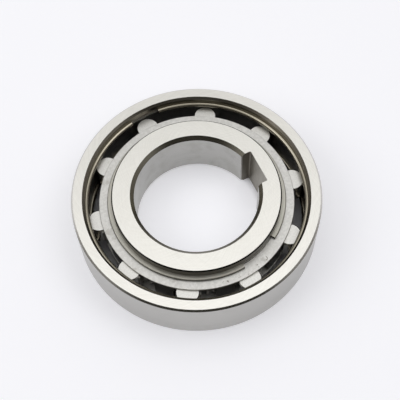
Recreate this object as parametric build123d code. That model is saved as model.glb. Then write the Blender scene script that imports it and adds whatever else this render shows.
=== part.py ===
from build123d import *
from math import cos, radians, sin
import os

# One-way roller clutch in a bearing envelope: a hardened inner ring with ramped pockets, an outer
# ring with a plain race, and a sprung roller in each pocket. Millimetres, bore along Z, origin at
# the middle of the width, keyway centred on +X. The outer ring runs free anticlockwise seen from
# +Z, and clockwise it wedges each roller against its ramp.

os.makedirs("parts", exist_ok=True)

# Envelope: bore, height of the ring section from bore to outside, and width
BORE_D = 40.0
SECTION = 20.0
WIDTH = 18.0

# Outer ring
OUTER_WALL = 4.25
OUTER_CHAMFER = 0.6
MOUTH_CHAMFER = 0.7

# Inner ring
LAND_BELOW_TRACK = 0.76
HUB_BELOW_RAMP = 0.74
BORE_CHAMFER = 1.2
HUB_CHAMFER = 0.4
KEYWAY_W = 12.0
KEYWAY_DEPTH = 2.4
KEYWAY_CORNER_R = 0.4

# Rollers and their pockets
ROLLER_COUNT = 10
ROLLER_D = 7.5
ROLLER_CHAMFER = 0.3
END_ROOM = 5.0
FIRST_ROLLER_DEG = -12.44
WEDGE_DEG = 7.0
RACE_CLEARANCE = 0.04
RAMP_CLEARANCE = 0.03
END_CLEARANCE = 0.05
SPRING_ROOM = 5.0
LOCK_ROOM = 0.7
POCKET_CORNER_R = 0.5

# Side plates, one each side of the rollers
PLATE_T = 0.8
PLATE_LAP = 0.25
PLATE_EDGE = 0.12
PLATE_HUB_CLEARANCE = 0.05

# Flat snap rings that hold the side plates on the hub
HUB_RING_T = 1.0
HUB_RING_W = 2.0
HUB_RING_DEPTH = 0.5
HUB_RING_GAP_DEG = 28.0
HUB_RING_GAP_AT = -70.0
HUB_RING_EDGE = 0.2
RING_CLEARANCE = 0.03

# Round-wire rings in the race, which keep the outer ring from sliding off
WIRE_D = 1.8
WIRE_BITE = 0.65
WIRE_OVER_PLATE = 0.05
WIRE_GAP_DEG = 16.3
WIRE_GAP_AT = 94.3

# Folded leaf springs
SPRING_T = 0.25
SPRING_SIDE_ROOM = 1.0
SPRING_BEND_R = 0.45
SPRING_LIFT = 0.35
SPRING_BELOW_LAND = 0.9
SPRING_PAST_CENTRE = 0.4
SPRING_CLEARANCE = 0.05

# Sizes that follow from the values above
bore_r = BORE_D / 2
outer_r = bore_r + SECTION
half_width = WIDTH / 2
race_r = outer_r - OUTER_WALL
roller_r = ROLLER_D / 2
roller_l = WIDTH - 2 * END_ROOM
roller_track_r = race_r - roller_r - RACE_CLEARANCE
roller_x = roller_track_r * sin(radians(WEDGE_DEG))
roller_y = roller_track_r * cos(radians(WEDGE_DEG))
ramp_y = roller_y - roller_r - RAMP_CLEARANCE
land_r = roller_track_r - LAND_BELOW_TRACK
hub_r = ramp_y - HUB_BELOW_RAMP
roller_back_x = roller_x - roller_r
spring_wall_x = roller_back_x - SPRING_ROOM
lock_wall_x = roller_x + roller_r + LOCK_ROOM
land_half = roller_l / 2 + END_CLEARANCE
plate_r = land_r + PLATE_LAP
plate_top = land_half + PLATE_T
hub_ring_base = plate_top + RING_CLEARANCE
hub_ring_inner_r = hub_r - HUB_RING_DEPTH
hub_ring_outer_r = hub_ring_inner_r + HUB_RING_W
wire_z = plate_top + WIRE_OVER_PLATE + WIRE_D / 2
wire_track_r = race_r - WIRE_D / 2 + WIRE_BITE


def spun(points):
    """Solid of revolution about Z from (radius, height) points."""
    return revolve(Plane.XZ * make_face(Polyline(*points, close=True)), Axis.Z)


def mirrored(points):
    """The same outline below the middle plane, in the order that closes the loop."""
    return [(radius, -height) for radius, height in reversed(points)]


def pocket_frame(index):
    """Plane of one pocket: X towards the narrow end of the wedge, Y outwards."""
    turn = FIRST_ROLLER_DEG + index * 360 / ROLLER_COUNT + WEDGE_DEG
    return Rot(0, 0, turn - 90)


def wire_ring(side):
    """Split ring of round wire at the race, side +1 above and -1 below."""
    start = WIRE_GAP_AT + WIRE_GAP_DEG / 2
    path = Pos(0, 0, side * wire_z) * CenterArc((0, 0), wire_track_r, start, 360 - WIRE_GAP_DEG)
    section = Plane(origin=path @ 0, z_dir=path % 0) * Circle(WIRE_D / 2)
    return sweep(section, path=path)


def outer_ring():
    """Outer ring: ground outside, plain race, and a wire groove near each mouth."""
    groove_r = wire_track_r + WIRE_D / 2 + RING_CLEARANCE
    groove_half = WIRE_D / 2 + RING_CLEARANCE
    upper = [
        (race_r, wire_z - groove_half),
        (groove_r, wire_z - groove_half),
        (groove_r, wire_z + groove_half),
        (race_r, wire_z + groove_half),
        (race_r, half_width - MOUTH_CHAMFER),
        (race_r + MOUTH_CHAMFER, half_width),
        (outer_r - OUTER_CHAMFER, half_width),
        (outer_r, half_width - OUTER_CHAMFER),
    ]
    return spun(upper + mirrored(upper))


def pocket_cut():
    """Flat-floored roller pocket in its own plane, open outwards and at both ends."""
    outline = make_face(Polyline(
        (spring_wall_x, ramp_y),
        (lock_wall_x, ramp_y),
        (lock_wall_x, race_r),
        (spring_wall_x, race_r),
        close=True,
    ))
    outline = fillet(outline.vertices().group_by(Axis.Y)[0], POCKET_CORNER_R)
    return extrude(outline, land_half, both=True)


def keyway_cut():
    """Keyway through the bore, with rounded floor corners."""
    floor_x = bore_r + KEYWAY_DEPTH
    outline = Pos(floor_x / 2, 0) * Rectangle(floor_x, KEYWAY_W)
    outline = fillet(outline.vertices().group_by(Axis.X)[-1], KEYWAY_CORNER_R)
    return extrude(outline, half_width, both=True)


def inner_ring():
    """Inner ring: hub, raised lands cut by the pockets, snap-ring grooves, keyed bore."""
    groove_r = hub_ring_inner_r - RING_CLEARANCE
    groove_top = hub_ring_base + HUB_RING_T + RING_CLEARANCE
    upper = [
        (land_r, land_half),
        (hub_r, land_half),
        (hub_r, plate_top),
        (groove_r, plate_top),
        (groove_r, groove_top),
        (hub_r, groove_top),
        (hub_r, half_width - HUB_CHAMFER),
        (hub_r - HUB_CHAMFER, half_width),
        (bore_r + BORE_CHAMFER, half_width),
        (bore_r, half_width - BORE_CHAMFER),
    ]
    ring = spun(upper + mirrored(upper))
    for index in range(ROLLER_COUNT):
        ring -= pocket_frame(index) * pocket_cut()
    return ring - keyway_cut()


def side_plate(side):
    """Thin plate that closes one end of the pockets, with a tumbled outer edge."""
    base = land_half if side > 0 else -plate_top
    inner_r = hub_r + PLATE_HUB_CLEARANCE
    plate = spun([
        (inner_r, base),
        (plate_r, base),
        (plate_r, base + PLATE_T),
        (inner_r, base + PLATE_T),
    ])
    return chamfer(plate.edges(), PLATE_EDGE)


def hub_ring(side):
    """Flat split snap ring in the hub groove, outside the side plate."""
    base = hub_ring_base if side > 0 else -hub_ring_base - HUB_RING_T
    start = HUB_RING_GAP_AT + HUB_RING_GAP_DEG / 2
    section = Plane.XZ * make_face(Polyline(
        (hub_ring_inner_r, base),
        (hub_ring_outer_r - HUB_RING_EDGE, base),
        (hub_ring_outer_r, base + HUB_RING_EDGE),
        (hub_ring_outer_r, base + HUB_RING_T - HUB_RING_EDGE),
        (hub_ring_outer_r - HUB_RING_EDGE, base + HUB_RING_T),
        (hub_ring_inner_r, base + HUB_RING_T),
        close=True,
    ))
    return revolve(Rot(0, 0, start) * section, Axis.Z, 360 - HUB_RING_GAP_DEG)


def roller():
    """Cylindrical roller with broken ends."""
    blank = Cylinder(roller_r, roller_l)
    return chamfer(blank.edges().filter_by(GeomType.CIRCLE), ROLLER_CHAMFER)


def leaf_spring():
    """Folded strip in the pocket plane, from the back wall to the roller."""
    half_t = SPRING_T / 2
    low = ramp_y + SPRING_LIFT + half_t
    high = land_r - SPRING_BELOW_LAND
    back = spring_wall_x + SPRING_CLEARANCE + half_t
    front = roller_back_x - SPRING_CLEARANCE - half_t
    fold = (front - back) / 4
    path = FilletPolyline(
        (back, low),
        (back, high),
        (back + fold, low),
        (back + 2 * fold, high),
        (back + 3 * fold, low),
        (front, high),
        (front, roller_y + SPRING_PAST_CENTRE),
        radius=SPRING_BEND_R,
    )
    strip_w = roller_l - 2 * SPRING_SIDE_ROOM
    section = Plane(origin=path @ 0, x_dir=(0, 0, 1), z_dir=path % 0) * Rectangle(strip_w, SPRING_T)
    return sweep(section, path=path)


def save(shape, name):
    """Writes one named piece to its own file."""
    shape.label = name
    export_step(shape, f"parts/{name}.step")


save(outer_ring(), "outer_ring")
save(inner_ring(), "inner_ring")
for side, name in ((1, "upper"), (-1, "lower")):
    save(side_plate(side), f"{name}_side_plate")
    save(hub_ring(side), f"{name}_hub_snap_ring")
    save(wire_ring(side), f"{name}_race_snap_ring")
for index in range(ROLLER_COUNT):
    number = f"{index + 1:02d}"
    save(pocket_frame(index) * Pos(roller_x, roller_y, 0) * roller(), f"roller_{number}")
    save(pocket_frame(index) * leaf_spring(), f"spring_{number}")
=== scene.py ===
from math import cos, radians, sin, tan

import bpy
from mathutils import Matrix, Vector


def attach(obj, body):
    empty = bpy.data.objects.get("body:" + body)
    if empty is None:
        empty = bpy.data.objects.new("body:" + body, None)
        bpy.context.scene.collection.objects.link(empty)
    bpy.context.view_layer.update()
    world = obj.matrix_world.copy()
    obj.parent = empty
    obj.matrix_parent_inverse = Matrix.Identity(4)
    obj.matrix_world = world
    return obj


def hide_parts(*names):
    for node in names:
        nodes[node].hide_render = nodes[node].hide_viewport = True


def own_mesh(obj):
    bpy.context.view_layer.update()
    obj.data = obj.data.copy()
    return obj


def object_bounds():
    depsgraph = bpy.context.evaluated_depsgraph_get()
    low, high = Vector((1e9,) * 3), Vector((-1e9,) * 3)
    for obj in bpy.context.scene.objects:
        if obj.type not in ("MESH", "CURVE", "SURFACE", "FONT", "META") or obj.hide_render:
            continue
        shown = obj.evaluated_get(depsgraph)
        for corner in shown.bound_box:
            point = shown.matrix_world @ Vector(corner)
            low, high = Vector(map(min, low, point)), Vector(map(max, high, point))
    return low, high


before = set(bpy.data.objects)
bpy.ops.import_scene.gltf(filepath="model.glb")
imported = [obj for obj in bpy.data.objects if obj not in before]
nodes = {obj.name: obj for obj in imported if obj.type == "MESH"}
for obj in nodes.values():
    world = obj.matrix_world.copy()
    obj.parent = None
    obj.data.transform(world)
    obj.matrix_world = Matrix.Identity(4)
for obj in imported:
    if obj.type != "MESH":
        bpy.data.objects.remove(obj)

cad_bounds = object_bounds()

# ---------------------------------------------------------------- sizes, metres
low, high = cad_bounds
MM = 0.001
OUTER_R = high[0]
FLOOR_Z = low[2]
BORE_R = 20 * MM
SPRING_COUNT = 10

# ---------------------------------------------------------------- camera
VIEW_AZIMUTH = -23.14
VIEW_ELEVATION = 64.025
VIEW_DISTANCE = 301.0 * MM
VIEW_ROLL = -2.151
LENS = 80.65
AIM_RIGHT = 0.211
AIM_UP = 1.103


def make_camera():
    """Camera over the near edge, aimed a little off the middle of the underside."""
    azimuth = radians(VIEW_AZIMUTH)
    elevation = radians(VIEW_ELEVATION)
    back = Vector((
        sin(azimuth) * cos(elevation),
        -cos(azimuth) * cos(elevation),
        sin(elevation),
    ))
    right = Vector((cos(azimuth), sin(azimuth), 0))
    up = back.cross(right)
    place = Vector((0, 0, FLOOR_Z)) + back * VIEW_DISTANCE
    aim = -back + right * tan(radians(AIM_RIGHT)) + up * tan(radians(AIM_UP))
    data = bpy.data.cameras.new("camera")
    data.lens = LENS
    data.sensor_width = 36
    data.clip_start = 0.01
    camera = bpy.data.objects.new("camera", data)
    turn = aim.to_track_quat("-Z", "Y").to_matrix().to_4x4()
    roll = Matrix.Rotation(radians(VIEW_ROLL), 4, "Z")
    camera.matrix_world = Matrix.Translation(place) @ turn @ roll
    bpy.context.scene.collection.objects.link(camera)
    bpy.context.scene.camera = camera


# ---------------------------------------------------------------- node helpers
class Graph:
    """Short names for building one node tree."""

    def __init__(self, tree):
        self.tree = tree

    def add(self, kind, *inputs, out=0, **settings):
        node = self.tree.nodes.new("ShaderNode" + kind)
        for key, value in settings.items():
            setattr(node, key, value)
        for index, value in enumerate(inputs):
            self.feed(node.inputs[index], value)
        return node.outputs[out]

    def feed(self, socket, value):
        if isinstance(value, bpy.types.NodeSocket):
            self.tree.links.new(value, socket)
        elif value is not None:
            socket.default_value = value

    def math(self, operation, *inputs):
        return self.add("Math", *inputs, operation=operation)

    def times(self, a, b):
        return self.math("MULTIPLY", a, b)

    def ramp(self, value, low_end, high_end):
        """0 at low_end, 1 at high_end, smooth between."""
        node = self.tree.nodes.new("ShaderNodeMapRange")
        node.interpolation_type = "SMOOTHSTEP"
        self.feed(node.inputs["Value"], value)
        self.feed(node.inputs["From Min"], low_end)
        self.feed(node.inputs["From Max"], high_end)
        return node.outputs["Result"]

    def mix(self, factor, a, b):
        """Colour blend."""
        node = self.tree.nodes.new("ShaderNodeMix")
        node.data_type = "RGBA"
        self.feed(node.inputs[0], factor)
        self.feed(node.inputs[6], a)
        self.feed(node.inputs[7], b)
        return node.outputs[2]

    def blend(self, factor, a, b):
        """Number blend."""
        node = self.tree.nodes.new("ShaderNodeMix")
        self.feed(node.inputs[0], factor)
        self.feed(node.inputs[2], a)
        self.feed(node.inputs[3], b)
        return node.outputs[0]

    def noise(self, vector, scale, detail=2.0, roughness=0.5):
        node = self.tree.nodes.new("ShaderNodeTexNoise")
        self.feed(node.inputs["Vector"], vector)
        node.inputs["Scale"].default_value = scale
        node.inputs["Detail"].default_value = detail
        node.inputs["Roughness"].default_value = roughness
        return node.outputs["Fac"]

    def scaled(self, vector, x, y, z):
        """vector with each part multiplied."""
        node = self.tree.nodes.new("ShaderNodeVectorMath")
        node.operation = "MULTIPLY"
        self.feed(node.inputs[0], vector)
        node.inputs[1].default_value = (x, y, z)
        return node.outputs[0]

    def vector(self, x=0.0, y=0.0, z=0.0):
        return self.add("CombineXYZ", x, y, z)


class Surface(Graph):
    """One material, with the measurements of the surface point that the finishes use."""

    def __init__(self, name):
        self.material = bpy.data.materials.new(name)
        self.material.use_nodes = True
        super().__init__(self.material.node_tree)
        self.shader = self.tree.nodes["Principled BSDF"]
        self.point = self.add("TexCoord", out=3)
        split = self.tree.nodes.new("ShaderNodeSeparateXYZ")
        self.feed(split.inputs[0], self.point)
        self.x, self.y, self.z = (self.times(out, 1000.0) for out in split.outputs)
        square = self.math("ADD", self.times(self.x, self.x), self.times(self.y, self.y))
        self.radius = self.math("SQRT", square)
        self.angle = self.math("ARCTAN2", self.y, self.x)
        self.height = self.math("ABSOLUTE", self.z)
        normal = self.tree.nodes.new("ShaderNodeSeparateXYZ")
        self.feed(normal.inputs[0], self.add("NewGeometry", out=3))
        self.flatness = self.math("ABSOLUTE", normal.outputs[2])

    def facing_up(self):
        """1 on faces square to the bore axis."""
        return self.ramp(self.flatness, 0.93, 0.985)

    def sloped(self):
        """1 on chamfers."""
        not_wall = self.ramp(self.flatness, 0.2, 0.35)
        return self.times(not_wall, self.ramp(self.flatness, 0.985, 0.93))

    def within(self, value, start, end, soft=0.05):
        """1 where value lies between start and end."""
        inside = self.ramp(value, start - soft, start + soft)
        return self.times(inside, self.ramp(value, end + soft, end - soft))

    def edge_wear_and_highlight(self, reach):
        """1 along edges, where the rounded normal leaves the true one; used for edge wear and a painted
        edge highlight.
        """
        bevel = self.tree.nodes.new("ShaderNodeBevel")
        bevel.samples = 6
        bevel.inputs["Radius"].default_value = reach
        dot = self.tree.nodes.new("ShaderNodeVectorMath")
        dot.operation = "DOT_PRODUCT"
        self.feed(dot.inputs[0], bevel.outputs[0])
        self.feed(dot.inputs[1], self.add("NewGeometry", out=1))
        return self.ramp(dot.outputs["Value"], 0.985, 0.90)

    def bump(self, height, distance, strength):
        node = self.tree.nodes.new("ShaderNodeBump")
        node.inputs["Strength"].default_value = strength
        node.inputs["Distance"].default_value = distance
        self.feed(node.inputs["Height"], height)
        return node.outputs[0]

    def finish(self, color, roughness, normal):
        """Bare metal with the colour, roughness and bump given."""
        self.feed(self.shader.inputs["Base Color"], color)
        self.feed(self.shader.inputs["Roughness"], roughness)
        self.feed(self.shader.inputs["Normal"], normal)
        self.shader.inputs["Metallic"].default_value = 1.0
        return self.material


def rgb(red, green, blue):
    return (red, green, blue, 1.0)


BRIGHT_STEEL = rgb(0.90, 0.885, 0.835)
DULL_STEEL = rgb(0.765, 0.75, 0.70)
WALL_STEEL = rgb(0.53, 0.52, 0.495)
BORE_STEEL = rgb(0.50, 0.495, 0.47)
TURNED_STEEL = rgb(0.20, 0.180, 0.145)
BROACHED_STEEL = rgb(0.40, 0.38, 0.33)
RACE_STEEL = rgb(0.30, 0.29, 0.27)
DARK_STEEL = rgb(0.12, 0.115, 0.11)
EDGE_STEEL = rgb(0.62, 0.605, 0.57)
BORE_EDGE_STEEL = rgb(0.28, 0.262, 0.215)
# Painted shade: near-black colour for the hub wall above the snap ring.
HUB_WALL_SHADE = rgb(0.075, 0.067, 0.052)
# Painted shade: near-black hub chamfer, for the dark line round the hub face.
HUB_EDGE_SHADE = rgb(0.09, 0.085, 0.08)


# ---------------------------------------------------------------- finish and painted-shade zones, mm
BORE_WALL = (20.6, 20.2)
BORE_CHAMFER = (22.5, 22.0)
HUB_CHAMFER = (26.0, 28.0)
OUTER_CHAMFER = (38.5, 39.0)
OUTER_WALL = (38.0, 39.0)
GROOVE_FLOOR = (35.85, 35.95)
GROOVE_HEIGHT = (4.7, 6.85)
MOUTH_HEIGHT = (6.5, 6.8)
HUB_WALL_HEIGHT = (5.6, 5.9)
KEYWAY_RADIUS = (20.4, 24.5)
KEYWAY_HALF_WIDTH = (6.4, 6.2)
KEYWAY_SIDE = (5.5, 5.95)
STAIN_RADIUS = (29.5, 32.5)
STAIN_ANGLE = (radians(-104), radians(-66))


# ---------------------------------------------------------------- finishes, with painted shade and painted highlight
def grinding(s):
    """Fine face-grinding marks: two crossing sets of shallow arcs that sweep across the ring."""
    lean = s.times(s.radius, 0.05)
    sweeps = []
    for lay, seed in ((s.math("ADD", s.angle, lean), 0.0), (s.math("SUBTRACT", s.angle, lean), 7.0)):
        across = s.times(lay, 30.0)
        along = s.times(s.radius, 0.08)
        sweeps.append(s.noise(s.vector(across, along, seed), 1.5, 5.0, 0.7))
    rings = s.vector(s.times(s.radius, 4.0), s.times(s.angle, 2.0))
    fine = s.noise(rings, 1.0, 3.0, 0.6)
    crossed = s.math("ADD", s.times(sweeps[0], 0.6), s.times(sweeps[1], 0.4))
    return s.math("ADD", s.times(crossed, 0.75), s.times(fine, 0.25))


def lathe_lines(s):
    """Turning and cylindrical-grinding lines, round the axis."""
    across = s.math("ADD", s.radius, s.z)
    lay = s.vector(s.times(across, 14.0), s.times(s.angle, 1.2))
    return s.noise(lay, 1.0, 4.0, 0.7)


def cloud(s, size_mm, detail=3.0):
    return s.noise(s.point, 1000.0 / size_mm, detail, 0.55)


def ring_steel(name, zones):
    """Ground ring: bright faces, dark turned chamfers, and walls by zone."""
    s = Surface(name)
    face = s.facing_up()
    marks = grinding(s)
    lines = lathe_lines(s)
    blotch = cloud(s, 9.0)
    color, rough = zones(s, lines, blotch)
    face_color = s.mix(s.ramp(marks, 0.30, 0.70), DULL_STEEL, BRIGHT_STEEL)
    face_color = s.mix(s.times(s.ramp(blotch, 0.55, 0.8), 0.2), face_color, rgb(0.66, 0.64, 0.59))
    face_rough = s.blend(marks, 0.30, 0.44)
    turned = s.sloped()
    turned_color = s.mix(s.ramp(lines, 0.3, 0.75), TURNED_STEEL, rgb(0.30, 0.275, 0.23))
    turned_color = s.mix(s.ramp(s.radius, *BORE_CHAMFER), turned_color, BORE_EDGE_STEEL)
    turned_color = s.mix(s.ramp(s.radius, *OUTER_CHAMFER), turned_color, EDGE_STEEL)
    # Painted shade: the hub chamfer is painted near black.
    turned_color = s.mix(s.within(s.radius, *HUB_CHAMFER), turned_color, HUB_EDGE_SHADE)
    color = s.mix(turned, color, turned_color)
    rough = s.blend(turned, rough, 0.20)
    color = s.mix(face, color, face_color)
    rough = s.blend(face, rough, face_rough)
    # Brighter edges: partly edge wear, partly a painted highlight along the edges.
    wear_and_highlight = s.times(s.edge_wear_and_highlight(0.12 * MM), s.ramp(cloud(s, 3.0), 0.35, 0.6))
    color = s.mix(s.times(wear_and_highlight, 0.4), color, BRIGHT_STEEL)
    height = s.blend(face, lines, marks)
    return s.finish(color, rough, s.bump(height, 0.004 * MM, 0.22))


def outer_zones(s, lines, blotch):
    """Outside wall against race and groove; the groove is painted dark as shade."""
    outside = s.ramp(s.radius, *OUTER_WALL)
    wall = s.mix(s.ramp(lines, 0.25, 0.75), rgb(0.46, 0.452, 0.43), WALL_STEEL)
    wall = s.mix(s.times(s.ramp(blotch, 0.5, 0.75), 0.2), wall, rgb(0.42, 0.41, 0.38))
    race = s.mix(s.ramp(lines, 0.3, 0.7), DARK_STEEL, RACE_STEEL)
    groove = s.times(s.ramp(s.radius, *GROOVE_FLOOR), s.within(s.height, *GROOVE_HEIGHT))
    near_mouth = s.math("SUBTRACT", s.ramp(s.height, *MOUTH_HEIGHT), groove)
    race = s.mix(near_mouth, race, rgb(0.17, 0.155, 0.12))
    # Painted shade: the groove in the race is painted near black.
    race = s.mix(groove, race, rgb(0.10, 0.09, 0.07))
    return s.mix(outside, race, wall), s.blend(outside, 0.34, s.blend(lines, 0.28, 0.42))


def inner_zones(s, lines, blotch):
    """Honed bore, broached keyway with painted shade on its side walls, darker pockets, and the hub wall
    painted near black as shade.
    """
    bore = s.ramp(s.radius, *BORE_WALL)
    honed = s.mix(s.ramp(lines, 0.3, 0.7), rgb(0.41, 0.405, 0.385), BORE_STEEL)
    dull = s.times(s.ramp(cloud(s, 5.0, 4.0), 0.45, 0.7), 0.45)
    honed = s.mix(dull, honed, rgb(0.34, 0.33, 0.30))
    flat_y = s.math("ABSOLUTE", s.y)
    lay = s.vector(s.times(s.x, 9.0), s.times(s.y, 9.0), s.times(s.z, 0.25))
    strokes = s.noise(lay, 1.0, 4.0, 0.7)
    key = s.times(s.within(s.radius, *KEYWAY_RADIUS), s.ramp(flat_y, *KEYWAY_HALF_WIDTH))
    broached = s.mix(s.ramp(strokes, 0.3, 0.7), rgb(0.24, 0.22, 0.18), BROACHED_STEEL)
    # Painted shade: the keyway's side walls are painted darker than its floor.
    broached = s.mix(s.ramp(flat_y, *KEYWAY_SIDE), broached, rgb(0.16, 0.145, 0.12))
    side = s.mix(s.ramp(lines, 0.3, 0.7), DARK_STEEL, RACE_STEEL)
    # Painted shade: the hub wall above the plate is painted near black.
    side = s.mix(s.ramp(s.height, *HUB_WALL_HEIGHT), side, HUB_WALL_SHADE)
    color = s.mix(key, side, broached)
    color = s.mix(bore, color, honed)
    rough = s.blend(bore, 0.40, s.blend(lines, 0.26, 0.38))
    return color, rough


def plate_steel(name):
    """Tumbled plate: matte mottling, small pits, a few faint stains, painted shade on its side walls,
    and edges brightened as wear and painted highlight.
    """
    s = Surface(name)
    mottle = cloud(s, 0.9, 5.0)
    broad = cloud(s, 4.0, 2.0)
    color = s.mix(s.ramp(mottle, 0.35, 0.7), rgb(0.66, 0.65, 0.62), rgb(0.79, 0.78, 0.75))
    color = s.mix(s.times(s.ramp(broad, 0.62, 0.72), 0.35), color, rgb(0.33, 0.31, 0.27))
    worn_side = s.times(s.within(s.angle, *STAIN_ANGLE), s.within(s.radius, *STAIN_RADIUS))
    stain = s.times(s.ramp(cloud(s, 1.1, 2.0), 0.60, 0.70), worn_side)
    color = s.mix(s.times(stain, 0.7), color, rgb(0.16, 0.145, 0.11))
    # Painted shade: the plate's side walls are darkened by their slope alone.
    wall = s.math("SUBTRACT", 1.0, s.ramp(s.flatness, 0.2, 0.5))
    color = s.mix(s.times(wall, 0.5), color, rgb(0.30, 0.29, 0.26))
    # Brighter edges: partly edge wear, partly a painted highlight.
    wear_and_highlight = s.times(s.edge_wear_and_highlight(0.1 * MM), 0.5)
    color = s.mix(wear_and_highlight, color, rgb(0.80, 0.79, 0.76))
    rough = s.blend(mottle, 0.40, 0.58)
    return s.finish(color, rough, s.bump(mottle, 0.01 * MM, 0.5))


def roller_steel(name):
    """Rollers: fine ground wall, lightly dulled ends."""
    s = Surface(name)
    grain = cloud(s, 0.5, 5.0)
    lines = s.noise(s.scaled(s.point, 200.0, 200.0, 9000.0), 1.0, 3.0, 0.6)
    end = s.facing_up()
    color = s.mix(s.ramp(grain, 0.3, 0.7), rgb(0.73, 0.72, 0.685), rgb(0.84, 0.83, 0.795))
    color = s.mix(s.times(s.ramp(cloud(s, 2.2), 0.62, 0.75), 0.25), color, rgb(0.45, 0.42, 0.36))
    rough = s.blend(end, s.blend(lines, 0.14, 0.22), s.blend(grain, 0.40, 0.50))
    height = s.blend(end, lines, grain)
    return s.finish(color, rough, s.bump(height, 0.004 * MM, 0.3))


def snap_steel(name, tint, side_start, side_end, roughness):
    """Rolled or drawn spring-steel ring, with painted shade on its walls and edges brightened as wear
    and painted highlight.
    """
    s = Surface(name)
    lay = s.vector(s.times(s.radius, 9.0), s.times(s.z, 9.0), s.times(s.angle, 4.0))
    drawn = s.noise(lay, 1.0, 4.0, 0.65)
    light_tint = rgb(*(min(1.0, 1.7 * value) for value in tint[:3]))
    color = s.mix(s.ramp(drawn, 0.3, 0.75), tint, light_tint)
    # Painted shade: the ring's side walls are painted near black, standing in for their shade and the
    # contact shadow beside them.
    wall = s.ramp(s.flatness, side_end, side_start)
    color = s.mix(wall, color, rgb(0.035, 0.032, 0.028))
    # Brighter edges: partly rubbed wear, partly a painted highlight.
    color = s.mix(s.times(s.edge_wear_and_highlight(0.12 * MM), 0.5), color, rgb(0.62, 0.59, 0.52))
    rough = s.blend(drawn, roughness, roughness + 0.11)
    return s.finish(color, rough, s.bump(drawn, 0.006 * MM, 0.4))


def strip_steel(name):
    """Cold-rolled spring strip with lengthwise lines."""
    s = Surface(name)
    lines = s.noise(s.scaled(s.point, 300.0, 300.0, 12000.0), 1.0, 4.0, 0.6)
    color = s.mix(lines, rgb(0.30, 0.29, 0.27), rgb(0.46, 0.45, 0.42))
    # Brighter edges: partly edge wear, partly a painted highlight.
    color = s.mix(s.times(s.edge_wear_and_highlight(0.06 * MM), 0.6), color, rgb(0.66, 0.65, 0.62))
    return s.finish(color, s.blend(lines, 0.25, 0.38), s.bump(lines, 0.003 * MM, 0.3))


def dress(prefixes, material):
    """Gives the material to each CAD node whose name starts or ends as listed."""
    for name, node in nodes.items():
        if name.startswith(prefixes) or name.endswith(prefixes):
            node.data.materials.clear()
            node.data.materials.append(material)


# ---------------------------------------------------------------- springs carried with the inner ring
def folding_spring(number, material):
    """Copy of one leaf spring with its own mesh and the strip finish, parented to the inner body; the
    CAD spring is hidden.
    """
    node = nodes[f"spring_{number}"]
    piece = node.copy()
    piece.name = f"leaf_spring_{number}"
    piece.data = node.data.copy()
    piece.data.materials.clear()
    piece.data.materials.append(material)
    bpy.context.scene.collection.objects.link(piece)
    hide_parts(node.name)
    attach(piece, "inner")
    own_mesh(piece)


# ---------------------------------------------------------------- stage and light
FLOOR_HALF = 3.0
FLOOR_LIFT = 0.32
BORE_FLOOR_LIFT = 0.385
FAR_FLOOR_LIFT = 0.20
FAR_FLOOR = (0.25, 1.3)


def camera_like(g):
    """1 for rays that show the backdrop: camera, glossy and transmission."""
    path = g.tree.nodes.new("ShaderNodeLightPath")
    seen = g.math("MAXIMUM", path.outputs["Is Camera Ray"], path.outputs["Is Glossy Ray"])
    return g.math("MAXIMUM", seen, path.outputs["Is Transmission Ray"])


def make_floor():
    """Plain pale floor. Its lift is for rays that show the backdrop, and is 0 under the ring."""
    mesh = bpy.data.meshes.new("floor")
    corners = [(-1, -1), (1, -1), (1, 1), (-1, 1)]
    mesh.from_pydata([(x * FLOOR_HALF, y * FLOOR_HALF, FLOOR_Z) for x, y in corners], [], [(0, 1, 2, 3)])
    floor = bpy.data.objects.new("floor", mesh)
    bpy.context.scene.collection.objects.link(floor)
    material = bpy.data.materials.new("floor")
    material.use_nodes = True
    g = Graph(material.node_tree)
    shader = g.tree.nodes["Principled BSDF"]
    shader.inputs["Base Color"].default_value = rgb(0.80, 0.80, 0.83)
    shader.inputs["Roughness"].default_value = 0.9
    shader.inputs["Specular IOR Level"].default_value = 0.0
    shader.inputs["Emission Color"].default_value = rgb(0.96, 0.96, 1.0)
    split = g.tree.nodes.new("ShaderNodeSeparateXYZ")
    g.feed(split.inputs[0], g.add("TexCoord", out=3))
    squares = [g.math("POWER", part, 2.0) for part in split.outputs[:2]]
    square = g.math("ADD", *squares)
    radius = g.math("SQRT", square)
    outside = g.ramp(radius, OUTER_R - 2 * MM, OUTER_R)
    in_bore = g.ramp(radius, BORE_R + 4 * MM, BORE_R)
    clear = g.math("MAXIMUM", outside, in_bore)
    amount = g.blend(in_bore, FLOOR_LIFT, BORE_FLOOR_LIFT)
    amount = g.math("ADD", amount, g.times(g.ramp(radius, *FAR_FLOOR), FAR_FLOOR_LIFT))
    lift = g.times(g.times(camera_like(g), clear), amount)
    g.feed(shader.inputs["Emission Strength"], lift)
    mesh.materials.append(material)


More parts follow.
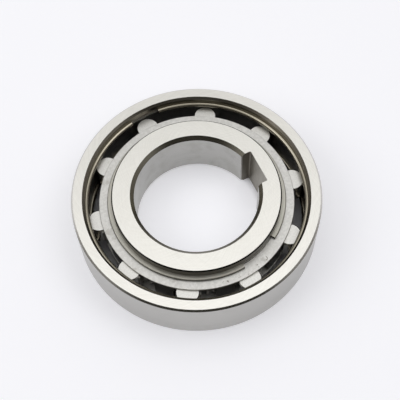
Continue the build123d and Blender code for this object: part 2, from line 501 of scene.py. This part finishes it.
def make_world():
    """Soft grey room, dark low on the camera's side, and near white to camera rays."""
    world = bpy.data.worlds.new("world")
    world.use_nodes = True
    bpy.context.scene.world = world
    g = Graph(world.node_tree)
    background = g.tree.nodes["Background"]
    split = g.tree.nodes.new("ShaderNodeSeparateXYZ")
    g.feed(split.inputs[0], g.add("TexCoord"))
    rise = g.ramp(split.outputs[2], -0.1, 0.9)
    room = g.mix(rise, rgb(0.20, 0.19, 0.175), rgb(0.62, 0.62, 0.62))
    turn = radians(VIEW_AZIMUTH)
    sideways = g.times(split.outputs[0], sin(turn))
    forward = g.math("ADD", sideways, g.times(split.outputs[1], -cos(turn)))
    dark = g.times(g.ramp(forward, 0.35, 0.75), g.ramp(split.outputs[2], 0.75, 0.5))
    room = g.mix(dark, room, rgb(0.035, 0.032, 0.026))
    path = g.tree.nodes.new("ShaderNodeLightPath")
    g.feed(background.inputs[0], g.mix(path.outputs["Is Camera Ray"], room, rgb(0.9, 0.9, 0.94)))
    background.inputs[1].default_value = 1.0


def make_light(name, azimuth, elevation, distance, width, depth, power):
    """Softbox aimed at the object; azimuth from the camera's right, counterclockwise."""
    turn = radians(VIEW_AZIMUTH + azimuth)
    lift = radians(elevation)
    place = Vector((cos(turn) * cos(lift), sin(turn) * cos(lift), sin(lift))) * distance
    data = bpy.data.lights.new(name, "AREA")
    data.shape = "RECTANGLE"
    data.size = width
    data.size_y = depth
    data.energy = power
    lamp = bpy.data.objects.new(name, data)
    lamp.location = place
    lamp.rotation_mode = "QUATERNION"
    lamp.rotation_quaternion = (-place).to_track_quat("-Z", "Y")
    bpy.context.scene.collection.objects.link(lamp)


make_camera()
make_world()
make_floor()
make_light("far_softbox", 103, 76, 1.2, 0.9, 0.7, 1.35)
make_light("left_softbox", 185, 45, 1.3, 0.8, 0.8, 3.0)
make_light("right_softbox", 0, 60, 1.3, 0.7, 0.7, 2.0)

dress(("outer_ring",), ring_steel("outer_ring_steel", outer_zones))
dress(("inner_ring",), ring_steel("inner_ring_steel", inner_zones))
dress(("side_plate",), plate_steel("side_plate_steel"))
dress(("roller_",), roller_steel("roller_steel"))
dress(("hub_snap_ring",), snap_steel("hub_snap_steel", rgb(0.36, 0.35, 0.31), 0.3, 0.6, 0.30))
dress(("race_snap_ring",), snap_steel("race_snap_steel", rgb(0.30, 0.275, 0.22), 0.0, 0.15, 0.17))
strip = strip_steel("spring_steel")
for number in range(1, SPRING_COUNT + 1):
    folding_spring(f"{number:02d}", strip)

bpy.context.scene.view_settings.view_transform = "Standard"
